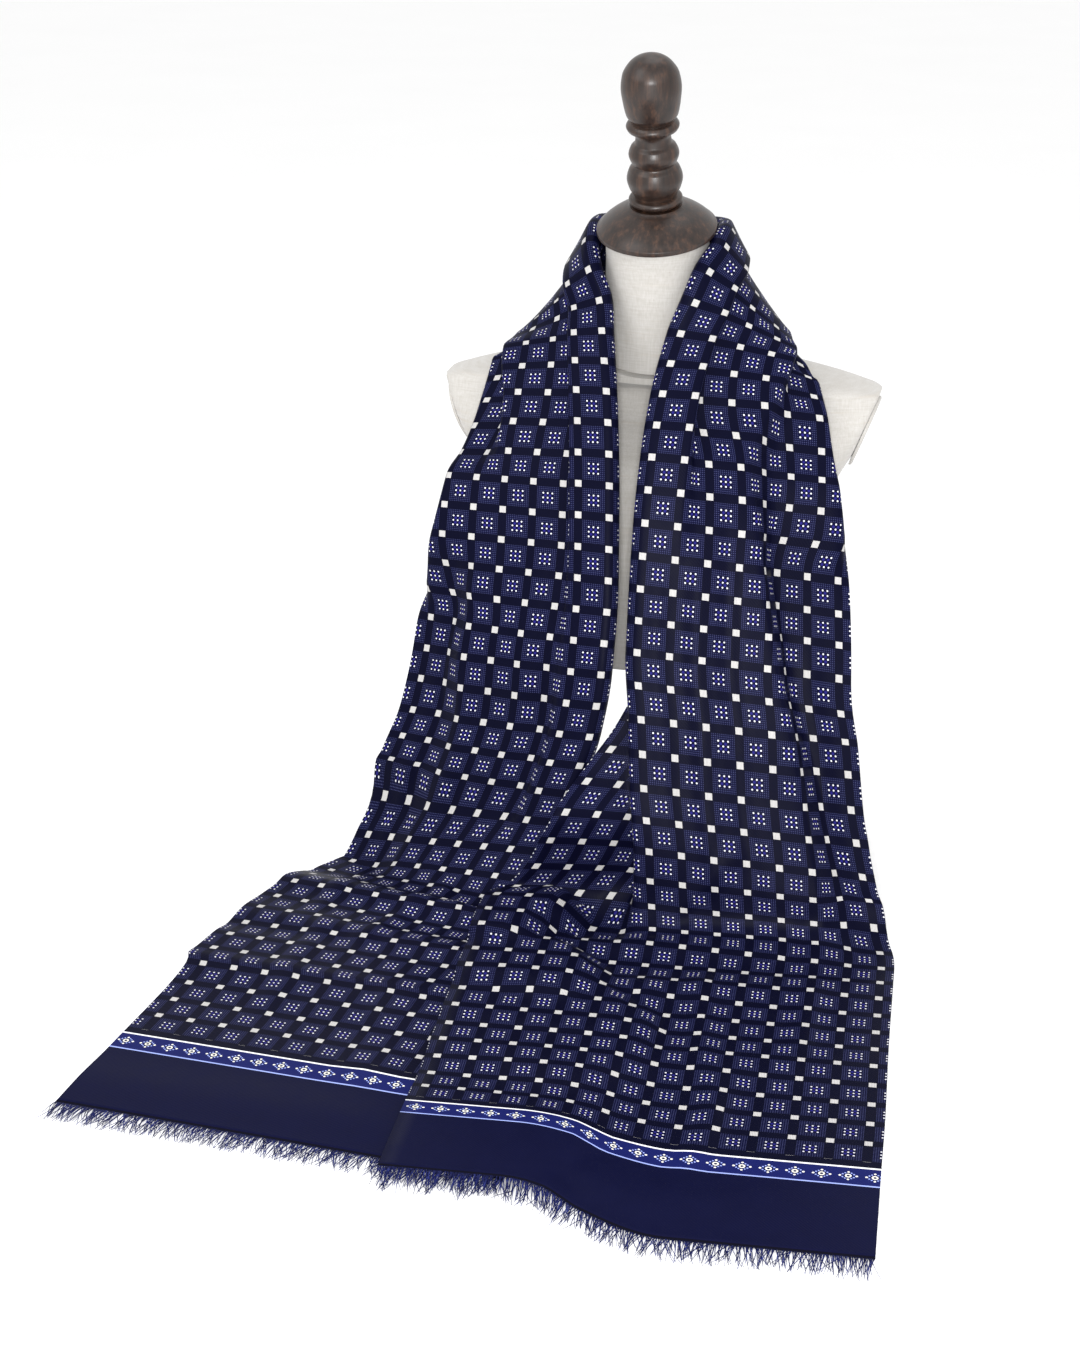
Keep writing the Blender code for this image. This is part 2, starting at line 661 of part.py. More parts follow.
def build_scarf():
    silk = finish("printed silk", (0.02, 0.03, 0.09), 0.5)
    yarn = finish("fringe yarn", (0.03, 0.05, 0.2), 0.7)
    half_gap = SEAM_GAP / 2 / ROW
    halves = {
        "left": (table(LEFT), table(LEFT_WAVES), -1),
        "right": (table(RIGHT), table(RIGHT_WAVES), 1),
    }
    below = None
    for seed, (name, (half, waves, side)) in enumerate(halves.items()):
        rows = rows_between(HEM_ROW, LANDING_ROW - half_gap, 1.15)
        if name == "left":
            rows = rows_between(HEM_ROW, 3, 1.4) + [3.2, 3.4, 3.6, 3.8]
            rows += rows_between(5, LANDING_ROW - half_gap, 1.2)
        end = stretch(half, waves, side, rows)
        rows = rows_between(LANDING_ROW + half_gap, SHOULDER_ROW, 1.35)
        rows += rows_between(SHOULDER_ROW, NECK_ROW - half_gap, 0.8)[1:]
        fall = stretch(half, waves, side, rows)
        outward = end[0][0][8] - end[1][0][8]
        outward.z = 0
        outward.normalize()
        if below is not None:
            rest_on(end, below)
            rest_on(fall, below)
        cloth_wall(f"scarf_end_{name}", end, silk)
        cloth_wall(f"scarf_fall_{name}", fall, silk)
        fringe(f"fringe_{name}", end[0][0], outward, yarn, seed + 3, below)
        below = lying(half, waves, side, outward)
    half, waves, side = halves["left"]
    rows = rows_between(NECK_ROW + half_gap, BACK_ROW, 0.8)
    neck = stretch(half, waves, side, rows)
    half, waves, side = halves["right"]
    neck += stretch(half, waves, side, rows[::-1])[1:]
    cloth_wall("scarf_neck", neck, silk)


clear_scene()
build_form()
build_scarf()
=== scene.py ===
import math

import bmesh
import bpy
import numpy as np
from mathutils import Matrix, Vector


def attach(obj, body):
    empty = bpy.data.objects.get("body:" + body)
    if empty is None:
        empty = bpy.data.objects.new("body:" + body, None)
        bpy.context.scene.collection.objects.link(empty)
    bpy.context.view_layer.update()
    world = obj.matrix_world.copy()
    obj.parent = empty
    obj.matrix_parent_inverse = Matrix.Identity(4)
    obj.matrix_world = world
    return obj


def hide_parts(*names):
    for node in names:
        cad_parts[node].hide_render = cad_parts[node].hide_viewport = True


mm = 0.001
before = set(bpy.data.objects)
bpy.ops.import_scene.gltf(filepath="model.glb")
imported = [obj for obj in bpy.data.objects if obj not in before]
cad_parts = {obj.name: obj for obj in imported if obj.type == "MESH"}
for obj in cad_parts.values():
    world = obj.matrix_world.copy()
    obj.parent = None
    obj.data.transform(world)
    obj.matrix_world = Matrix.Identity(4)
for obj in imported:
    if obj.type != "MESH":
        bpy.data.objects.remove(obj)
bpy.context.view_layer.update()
print("frame loaded,", len(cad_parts), "nodes")


def linearColour(red, green, blue):
    # screen values 0 to 255 as the linear colour that a shader takes
    def one(value):
        value /= 255
        return value / 12.92 if value <= 0.04045 else ((value + 0.055) / 1.055) ** 2.4

    return (one(red), one(green), one(blue), 1.0)


def readTable(text):
    lines = [line.split() for line in text.strip().splitlines()]
    columns = zip(*[[float(v) for v in line] for line in lines[1:]])
    return {name: np.array(values) for name, values in zip(lines[0], columns)}


def ease(t):
    t = min(max(t, 0.0), 1.0)
    return t * t * (3 - 2 * t)


def curveThrough(x, xs, ys):
    # smooth, and never past the values it goes through
    steps = np.diff(xs)
    slopes = np.diff(ys) / steps
    ends = np.concatenate(([slopes[0]], slopes, [slopes[-1]]))
    before, after = ends[:-1], ends[1:]
    same = before * after > 0
    tangents = np.where(same, 2 * before * after / np.where(same, before + after, 1), 0)
    k = int(np.clip(np.searchsorted(xs, x) - 1, 0, len(steps) - 1))
    t = (x - xs[k]) / steps[k]
    return (
        (1 + 2 * t) * (1 - t) ** 2 * ys[k]
        + t * (1 - t) ** 2 * steps[k] * tangents[k]
        + t * t * (3 - 2 * t) * ys[k + 1]
        + t * t * (t - 1) * steps[k] * tangents[k + 1]
    )


def rowsBetween(start, end, step):
    count = max(1, round(abs(end - start) / step))
    return [start + (end - start) * k / count for k in range(count + 1)]


class Wire:
    # a socket that takes part in Python arithmetic
    def __init__(self, shop, socket):
        self.shop = shop
        self.socket = socket

    def maths(self, operation, *others):
        values = dict(enumerate((self, *others)))
        return self.shop.add("ShaderNodeMath", {"operation": operation}, values)

    def __add__(self, other):
        return self.maths("ADD", other)

    __radd__ = __add__

    def __sub__(self, other):
        return self.maths("SUBTRACT", other)

    def __rsub__(self, other):
        return self.shop.add("ShaderNodeMath", {"operation": "SUBTRACT"}, {0: other, 1: self})

    def __mul__(self, other):
        return self.maths("MULTIPLY", other)

    __rmul__ = __mul__

    def __truediv__(self, other):
        return self.maths("DIVIDE", other)

    def __lt__(self, other):
        return self.maths("LESS_THAN", other)

    def __gt__(self, other):
        return self.maths("GREATER_THAN", other)

    def __abs__(self):
        return self.maths("ABSOLUTE")

    def fract(self):
        return self.maths("FRACT")

    def highest(self, other):
        return self.maths("MAXIMUM", other)

    def clamped(self):
        made = self.maths("ADD", 0.0)
        made.socket.node.use_clamp = True
        return made


class Finish:
    # one material: its node tree and its shader
    def __init__(self, name):
        self.material = bpy.data.materials.new(name)
        self.material.use_nodes = True
        self.tree = self.material.node_tree
        self.shader = self.tree.nodes["Principled BSDF"]

    def add(self, kind, settings=None, values=None, output=0):
        node = self.tree.nodes.new(kind)
        for name, value in (settings or {}).items():
            if name == "stops":
                while len(node.color_ramp.elements) < len(value):
                    node.color_ramp.elements.new(0.5)
                for element, (place, colour) in zip(node.color_ramp.elements, value):
                    element.position = place
                    element.color = colour
            else:
                setattr(node, name, value)
        for name, value in (values or {}).items():
            self.feed(node.inputs[name], value)
        return Wire(self, node.outputs[output])

    def feed(self, socket, value):
        if isinstance(value, Wire):
            self.tree.links.new(value.socket, socket)
        else:
            socket.default_value = value

    def blend(self, mask, under, over):
        # colour under, with colour over where the mask is 1
        values = {0: mask, 6: under, 7: over}
        return self.add("ShaderNodeMix", {"data_type": "RGBA"}, values, 2)

    def place(self, scale=(1, 1, 1)):
        # the point in the object's own space, stretched
        here = self.add("ShaderNodeTexCoord", output=3)
        return self.add("ShaderNodeMapping", None, {"Vector": here, "Scale": scale})

    def noise(self, vector, scale, detail=3.0, rough=0.5):
        values = {"Vector": vector, "Scale": scale, "Detail": detail, "Roughness": rough}
        return self.add("ShaderNodeTexNoise", None, values)

    def surface(self, **values):
        for name, value in values.items():
            words = {
                "colour": "Base Color", "specular": "Specular IOR Level", "sheen": "Sheen Weight",
                "coat": "Coat Weight", "coatRoughness": "Coat Roughness",
            }
            self.feed(self.shader.inputs[words.get(name, name.capitalize())], value)

    def bump(self, height, strength, distance):
        values = {"Height": height, "Strength": strength, "Distance": distance}
        self.feed(self.shader.inputs["Normal"], self.add("ShaderNodeBump", None, values))


def newPiece(name, bm, finish, nodes):
    mesh = bpy.data.meshes.new(name)
    bmesh.ops.recalc_face_normals(bm, faces=bm.faces[:])
    bm.to_mesh(mesh)
    bm.free()
    mesh.shade_smooth()
    mesh.materials.append(finish.material)
    piece = bpy.data.objects.new(name, mesh)
    bpy.context.scene.collection.objects.link(piece)
    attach(piece, "root")
    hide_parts(*nodes)
    return piece


# the scarf: 318 mm wide, 2160 mm long between its fringes; rows are 25 mm apart

scarf = {
    "rowStep": 25.0,
    "width": 318.0,
    "length": 2160.0,
    "hemRow": -5.2,
    "backRow": 38.0,
    "landingRow": 10.0,
    "creaseAt": 160.0,
    "underRoll": 2.0,
    "pleatRoll": 1.9,
    "edgeRoll": 3.3,
    "lift": 0.6,
    "clearOver": 3.4,    # the right end's lift over the left one, between their middles
    "clearFull": 30.0,   # that lift is whole this far from the left end, and gone at clearNone
    "clearNone": 54.0,
    "thick": 0.5,        # what the silk and its rolled hem look like
    "fineStep": 0.22,    # rows of the mesh, in print rows
    "evenRows": 1.7,     # how far along the fall its outer outline is evened
    "printRight": 0.35,  # where the print's columns start from the inner selvedge, in repeats
    "printLeft": 0.20,
}

# one line a station: the inner fold's place, how the width leans from it, and the folds across it
rightStations = readTable("""
 row  x    y     z  yaw  dip fold under turn double roll swing crease mid place ridge flat wrap edge drawn
-5.2 60 -636     0  3.6    0  120    12    0      0  3.2     0      0   7   262     0   22    0    0    45
-3.2 57 -586     0  3.6    0  120    12    0      0  3.2     0      0   7   262     0   22    0    0    38
-1.2 54 -536     0  3.6    0  120    12    0      0  3.2     0      0   7   262     0   22    0    0    26
   1 51 -481     0  3.6    0  120    12    0      0  3.2     0      0   7   262     0   22    0    0    12
   5 44 -381     0  3.6    0  120    12    0      0  3.2     0      0   7   262     0   22    0    0     0
   9 38 -281     0  3.4    0  120    12    0      0  3.2     0      0   7   262     0   22    0    0     0
10.4 36 -247     2  3.2    0  120    12   12     12  3.2     3      0   7   262     6   22    0    0     0
11.2 34 -231     8    3    0  120    12   40     40  3.2     8      0   7   262    14   22    2    0     0
  12 32 -225    22    3    2  120    13   80     80  3.2    12      0   7   263    30   22    4    0     0
  13 30 -222    42    3    3  120    14  125    125  3.2    18      0   7   261    40   22    6    0     0
  14 28 -218    65    4    4  120    16  160    160  3.2    19      0   7   259    48   22    8    0     0
  15 25 -212    88    5    4  120    21  180    180  3.6    22      0   7   256    53   22    8    0     0
  16 22 -204   111    5    4  120    30  180    180  4.2    14      0   7   254    58   22    8    0     0
  18 19 -188   161    5    4  120    46  180    180    6     6      0   7   246    66   22    8    0     0
  20 15 -171   209    6    5  120    55  180    180    8     0      0   7   239    70   22    6    0     0
  22 15 -158   256    7  5.5  120    55  180    180  8.4     0      0   7   229    70   22    7    0     0
  24 15 -143   304    8    5  120    55  180    180  8.4     0     25   4   219    66   22    6    8     0
  26 16 -124   351  8.5  3.8  120    55  180    180  8.4     0     75   4   212    45   21    5   14     0
  28 19 -101   395   12    3  120    55  180    180  8.2     0    150   6   236    50   12    4   20     0
  30 27  -77   437   17  9.5  120    55  180    180  7.6     0    180   7   250   110    7    4   18     0
  31 36  -68 459.7   23 19.5  120    55  180    180  7.2     0    180   7   250   160    7    4   18     0
  32 45  -58 482.7   29   33  120    55  180    180    7     0    180   7   250   180    7    3   18     0
  33 55  -39 499.7   36   45  120    55  180    180  6.6     0    180   7   250   180    7    2   18     0
  34 57  -18 508.7   44   53  120    55  180    180  6.2     0    180   7   250   180    7    0   18     0
  35 55    0 509.7   53   57  120    55  180    180  5.8     0    180   7   250   180    7    0   18     0
  36 46   16 508.7   64   58  120    55  180    180  5.8     0    180   7   250   180    7    0   18     0
  37 28   27 507.7   77   58  120    55  180    180  5.8     0    180   7   250   180    7    0   18     0
  38  0   31 507.7   90   58  120    55  180    180  5.8     0    180   7   250   180    7    0   18     0
""")
leftStations = readTable("""
 row     x      y     z  yaw  dip fold under turn double roll swing crease mid place ridge flat wrap edge drawn
-5.2   7.6 -589.2     0  4.4    0    0   112    0      0    2     0      0   7   250     0   20    0    0     0
   0  17.6 -459.2     0  4.4    0    0   112    0      0    2     0      0   7   250     0   20    0    0     0
   2  21.6 -409.2   0.5  4.4    0    0   112    0      0    2     0      0   7   250     0   20    0    0     0
   3  23.6 -384.2   3.5  4.4    0    0   112    0      0    2     0      0   7   250     0   20    0    0     0
 3.4  16.5 -373.5     6  4.4    0    5   112  180      0    2     0      0   7   250     0   20    0    0     0
 3.8   9.6 -363.9   5.5  4.5    0   14   112  180      0    2     0      0   7   250     0   20    0    0     0
   5 -12.3 -334.8     6    5    0   42   112  180      0    2     0      0   7   250     0   20    0    0     0
   6 -31.4 -314.3   7.2  6.5    1   64   112  180      0    2     0      0   7   250     0   20    0    0     0
   7 -50.4   -295   8.4  8.4    1   86   112  180      0  2.2     0      0   7   250     0   20    0    0     0
   8 -66.3 -277.7     9   11    1  106   112  180      0  2.4     0      0   7   250     0   20    0    0     0
   9   -75   -262    11   14    1  120   112  180      0  2.6     0      0   7   250     0   20    0    0     0
  10   -70   -250    13   17    2  120   112  180      0    3     0      0   7   250     4   20    0    0     0
  11   -66   -233    17 19.5    4  120   112  180      0  3.2     0      0   7   250    10   20    2    0     0
  12   -60   -217    30   18    7  120   112  180      0  3.4     0      0   7   250    20   20    4    0     0
  13   -52   -206    50   17    8  120    80  180     40    5     0      0   7   250    20   20    4    0     0
  14   -43   -199    73   16    7  120    62  180    110    7     0     30   4   248    20   20    5    0     0
  15   -35   -194    96   12    4  120    55  180    180    8     0     60   4   246    20   20    6    0     0
  17   -20   -186   142   10    3  120    55  180    180    8     0     58   4   250    26   20    8    0     0
  19   -13   -178   191   10    2  120    55  180    180    8     0     35   4   258    36   18    9    0     0
  21   -12   -163   237    8    1  120    55  180    180    8     0     58   4   252    36   16    7    8     0
  23   -15   -146   282    7  0.5  120    55  180    180  8.4     0     85   4   240     0   15    4   20     0
  25   -19   -127   327    7    1  120    55  180    180  8.4     0     92   4   240     0    8    3   28     0
26.2   -22   -116   354    8    2  120    55  180    180  8.4     0    105   5   236    45   10    4   30     0
  28 -27.5  -98.5   394   11    3  120    55  180    180  8.2     0    150   6   240   100    9    4   24     0
  30   -35    -77   436   18  9.5  120    55  180    180  7.6     0    180   7   250   165    7    4   18     0
  31   -39    -65 456.7   23 19.5  120    55  180    180  7.2     0    180   7   250   180    7    4   18     0
  32   -49    -58 478.7   29   33  120    55  180    180    7     0    180   7   250   180    7    3   18     0
  33   -56    -39 497.7   36   45  120    55  180    180  6.6     0    180   7   250   180    7    2   18     0
  34   -57    -18 507.7   44   53  120    55  180    180  6.2     0    180   7   250   180    7    0   18     0
  35   -55      0 509.7   53   57  120    55  180    180  5.8     0    180   7   250   180    7    0   18     0
  36   -46     16 508.7   64   58  120    55  180    180  5.8     0    180   7   250   180    7    0   18     0
  37   -28     27 507.7   77   58  120    55  180    180  5.8     0    180   7   250   180    7    0   18     0
  38     0     31 507.7   90   58  120    55  180    180  5.8     0    180   7   250   180    7    0   18     0
""")

# waves of the laid ends: the row of each crest at both selvedges, its height there, its half-width
rightWaves = readTable("""
inner outer innerHigh outerHigh half
9.6   10.8   9         0         1.0
6.6    8.6   7         1         1.3
2.8    4.0   4         1         1.6
-4.0  -3.0   5         0         1.6
""")
leftWaves = readTable("""
inner outer innerHigh outerHigh half
8.8    9.6  16         2         1.1
5.6    6.8   8         2         1.2
1.6    2.8   4         1         1.6
-3.4  -3.8   2         1         1.6
""")

# creases: from a row and width to another, in mm proud (minus is a trough), and half-width
rightCreases = readTable("""
row1 width1 row2 width2 high half
12.5  184   24.5  176    1.6  13
11.5  214   25.0  198    -1.7 12
11.0  292   21.0  286    1.5  12
14.0  150   23.0  146    -1.2 11
-0.5  205    9.0  175    2.0  15
10.8  128   14.5  205    2.0  10
9.2   236   12.8  262    -1.1 12
1.5   150    8.0  140    1.8  14
-2.8  190    3.5  215    1.4  16
4.5   255    9.0  262    1.7  16
""")
leftCreases = readTable("""
row1 width1 row2 width2 high half
14.5  205   24.0  196    1.5  12
13.0  232   23.0  222    -1.5 12
12.0  286   21.0  292    1.6  12
13.5  180   20.0  184    -1.2 11
5.0   210   11.5  186    1.9  14
1.0   236    7.5  244    1.7  16
-2.0  130    3.5  160    1.6  15
7.0   262   12.0  272    1.9  14
9.0   150   12.5  230    2.0  11
""")


def widthPieces(at):
    # the width as (length, turn in degrees, steps), from the inner selvedge out
    turnedIn = at["fold"]
    fold = min(math.pi * at["roll"], 0.9 * turnedIn + 2.4)
    back = min(math.pi * scarf["underRoll"], 0.1 * turnedIn + 0.8)
    under = min(at["under"], 0.94 * max(turnedIn - back - fold / 2, 1))
    flap = max(turnedIn - under - back - fold / 2, 1.5)
    beneath = min(under + 0.3 * fold, 0.6 * flap)
    hinge = min(6, 0.2 * flap)
    small = math.pi * scarf["pleatRoll"]
    outer = math.pi * scarf["edgeRoll"]
    first = scarf["creaseAt"] - max(turnedIn, fold / 2 + under + back + flap) - fold / 2
    second = at["place"] - scarf["creaseAt"] - at["mid"] - 2 * small
    third = scarf["width"] - at["place"] - at["flat"] - 2 * small - outer - at["edge"]
    return [
        (flap - beneath - hinge, 0, 6),
        (hinge, at["swing"], 3),
        (beneath, 0, 4),
        (back, at["double"], 4),
        (under, 0, 4),
        (fold, -at["turn"], 8),
        (first, 0, 6),
        (small, -at["crease"], 4),
        (at["mid"], 0, 3),
        (small, at["crease"], 4),
        (second, 0, 14),
        (small, -at["ridge"], 4),
        (at["flat"], 0, 5),
        (small, at["ridge"], 4),
        (third, 0, 9),
        (outer, -180 * ease(at["edge"] / 18), 6),
        (at["edge"], 0, 3),
    ]


def crossSection(at, reachWanted=None):
    pieces = widthPieces(at)
    points = [(0.0, 0.0, 0.0)]
    angle = -sum(turn for _, turn, _ in pieces[:6])
    fold = 0
    across = scarf["width"] - at["fold"]
    for index, (length, turn, steps) in enumerate(pieces):
        for _ in range(steps):
            out, proud, width = points[-1]
            step = max(length, 0.4) / steps
            front = abs(width + step / 2 - at["fold"]) / across
            if width < at["fold"] and at["double"] > 90:
                front = min(front, at["under"] / across)
            way = math.radians(angle + turn / steps / 2 - at["wrap"] * ease(front))
            points.append((out + step * math.cos(way), proud + step * math.sin(way), width + step))
            angle += turn / steps
        if index == 5:
            fold = len(points) - 1
    shiftOut, shiftProud, _ = points[fold]
    section = [(out - shiftOut, proud - shiftProud, width) for out, proud, width in points]
    if reachWanted is None:
        return section
    reach = max(out for out, _, _ in section)
    more = reachWanted - reach
    return [(out + more * ease((out - 50) / (reach - 50)), proud, w) for out, proud, w in section]


def evenReach(half):
    # how far the cloth reaches out from the inner fold, evened along the fall
    rows = np.arange(scarf["hemRow"], scarf["backRow"] + 0.1, 0.2)
    reach = np.array([max(p[0] for p in crossSection(stationAt(half, row))) for row in rows])
    kernel = np.exp(-0.5 * (np.arange(-20, 21) * 0.2 / scarf["evenRows"]) ** 2)
    even = np.convolve(np.pad(reach, 20, "edge"), kernel / kernel.sum(), "valid")
    onFall = np.array([ease((row - 10) / 3) * ease((31 - row) / 3) for row in rows])
    return rows, reach + (even - reach) * onFall


def stationAt(half, row):
    return {name: curveThrough(row, half["row"], half[name]) for name in half if name != "row"}


def waveHeight(waves, row, width):
    across = width / scarf["width"]
    high = 0.0
    for k in range(len(waves["half"])):
        crest = waves["inner"][k] + (waves["outer"][k] - waves["inner"][k]) * across
        rise = waves["innerHigh"][k] + (waves["outerHigh"][k] - waves["innerHigh"][k]) * across
        high += rise * ease(1 - abs(row - crest) / waves["half"][k])
    return high


def foldLine(half, side, row):
    at = stationAt(half, row)
    yaw = math.radians(at["yaw"])
    dip = math.radians(at["dip"])
    across = (side * math.cos(dip) * math.cos(yaw), math.cos(dip) * math.sin(yaw), -math.sin(dip))
    return Vector((at["x"], at["y"], at["z"])), Vector(across)


def clothRow(half, waves, side, row, reaches):
    # points across the cloth at a row, with their widths and the way that stands proud
    at = stationAt(half, row)
    fold, across = foldLine(half, side, row)
    foldAhead, acrossAhead = foldLine(half, side, row + 0.4)
    foldBehind, acrossBehind = foldLine(half, side, row - 0.4)
    points = []
    for out, proud, width in crossSection(at, float(np.interp(row, *reaches))):
        along = foldAhead - foldBehind + (acrossAhead - acrossBehind) * out
        if row < 9:
            along.z = 0
        if row > scarf["backRow"] - 0.45:
            along = Vector((-side, 0, 0))
        along.normalize()
        proudWay = across.cross(along) * side
        proudWay.normalize()
        p = fold + across * out + proudWay * proud
        p += along * at["drawn"] * ease((190 - width) / 110)
        if row < scarf["landingRow"] + 3:
            p.z += waveHeight(waves, row, at["fold"] + out)
        p.z = max(p.z, 0) + scarf["lift"]
        points.append((p, width))
    return points


def lyingPoints(grid, rows, outward, hemReach):
    # close-set points on the cloth that lies on the floor, fringe and all
    points = []
    for row, across in zip(rows, grid):
        if row > scarf["landingRow"] + 1.6:
            continue
        for (a, _), (b, _) in zip(across, across[1:]):
            count = max(1, round((b - a).length / 7))
            points += [a.lerp(b, k / count) for k in range(count)]
        points.append(across[-1][0])
    for reach in hemReach:
        points += [p + outward * reach + Vector((0, 0, 1.4)) for p, _ in grid[0]]
    return np.array([tuple(p) for p in points])


def groundHeight(p, below, full, none):
    near = np.hypot(below[:, 0] - p.x, below[:, 1] - p.y)
    close = near < none
    if not close.any():
        return 0.0
    fade = 1 - np.clip((near[close] - full) / (none - full), 0, 1)
    return float(np.max((below[close, 2] + scarf["clearOver"]) * fade))


def creaseHeight(creases, row, width):
    # soft ridges and troughs along straight lines of the flat cloth
    high = 0.0
    for k in range(len(creases["half"])):
        start = np.array((creases["row1"][k] * scarf["rowStep"], creases["width1"][k]))
        way = np.array((creases["row2"][k] * scarf["rowStep"], creases["width2"][k])) - start
        here = np.array((row * scarf["rowStep"], width)) - start
        t = float(np.clip(here @ way / (way @ way), -0.1, 1.1))
        off = float(np.hypot(*(here - way * t)))
        fade = ease(min(t + 0.1, 1.1 - t) / 0.3)
        high += creases["high"][k] * fade * ease(1 - off / creases["half"][k])
    return high


def proudOf(grid):
    # the cloth's normals, as an array as large as the grid
    points = np.array([[tuple(p) for p, _ in row] for row in grid])
    along = np.gradient(points, axis=0)
    across = np.gradient(points, axis=1)
    normals = np.cross(across, along)
    lengths = np.linalg.norm(normals, axis=2, keepdims=True)
    return points, normals / np.maximum(lengths, 1e-9)


def halfOfScarf(half, waves, creases, side, below):
    rows = rowsBetween(scarf["hemRow"], scarf["backRow"], scarf["fineStep"])
    reaches = evenReach(half)
    grid = [clothRow(half, waves, side, row, reaches) for row in rows]
    outward = grid[0][20][0] - grid[3][20][0]
    outward.z = 0
    outward.normalize()
    if below is not None:
        for row, across in zip(rows, grid):
            if row > scarf["landingRow"] + 6:
                continue
            for p, _ in across:
                if p.z < 32:
                    p.z = max(p.z, groundHeight(p, below, scarf["clearFull"], scarf["clearNone"]))
    lying = lyingPoints(grid, rows, outward, (6, 12, 18, 27))
    points, normals = proudOf(grid)
    for r, row in enumerate(rows):
        for c, (_, width) in enumerate(grid[r]):
            visible = ease((width - half["fold"].max() - 8) / 20)
            if row < 12:
                visible = 1.0 if side > 0 else ease((width - 10) / 20)
            facing = side * creaseHeight(creases, row, width) * visible
            if facing:
                points[r, c] += normals[r, c] * facing
                points[r, c, 2] = max(points[r, c, 2], scarf["lift"])
    return rows, points, [[w for _, w in across] for across in grid], outward, lying


def buildScarf(silk):
    halves = {}
    below = None
    for name, half, waves, creases, side in (
        ("left", leftStations, leftWaves, leftCreases, -1),
        ("right", rightStations, rightWaves, rightCreases, 1),
    ):
        halves[name] = halfOfScarf(half, waves, creases, side, below)
        below = halves[name][4]
    leftRows, leftPoints, leftWidths = halves["left"][:3]
    rightRows, rightPoints, rightWidths = halves["right"][:3]
    points = np.concatenate((leftPoints, rightPoints[::-1][1:]))
    widths = leftWidths + rightWidths[::-1][1:]
    rows = leftRows + rightRows[::-1][1:]
    onRight = [0.0] * len(leftRows) + [1.0] * (len(rightRows) - 1)
    bm = bmesh.new()
    chart = bm.loops.layers.uv.new("printChart")
    lines = [[bm.verts.new(Vector(p) * mm) for p in row] for row in points]
    columns = len(lines[0])
    for r in range(len(lines) - 1):
        for c in range(columns - 1):
            corners = ((r, c), (r, c + 1), (r + 1, c + 1), (r + 1, c))
            face = bm.faces.new([lines[i][j] for i, j in corners])
            for loop, (i, j) in zip(face.loops, corners):
                blend = ease((rows[i] - 31) / 7) * 0.5
                share = onRight[i] + (blend if onRight[i] == 0 else -blend)
                start = scarf["printLeft"] + (scarf["printRight"] - scarf["printLeft"]) * share
                loop[chart].uv = (widths[i][j] / scarf["rowStep"] - start, rows[i])
    stretches = (
        "scarf_neck", "scarf_fall_right", "scarf_fall_left", "scarf_end_right", "scarf_end_left",
    )
    piece = newPiece("silk_scarf", bm, silk, stretches)
    thicken = piece.modifiers.new("silk", "SOLIDIFY")
    thicken.thickness = scarf["thick"] * mm
    thicken.offset = 0
    print("scarf:", len(lines), "by", columns)
    return piece, halves


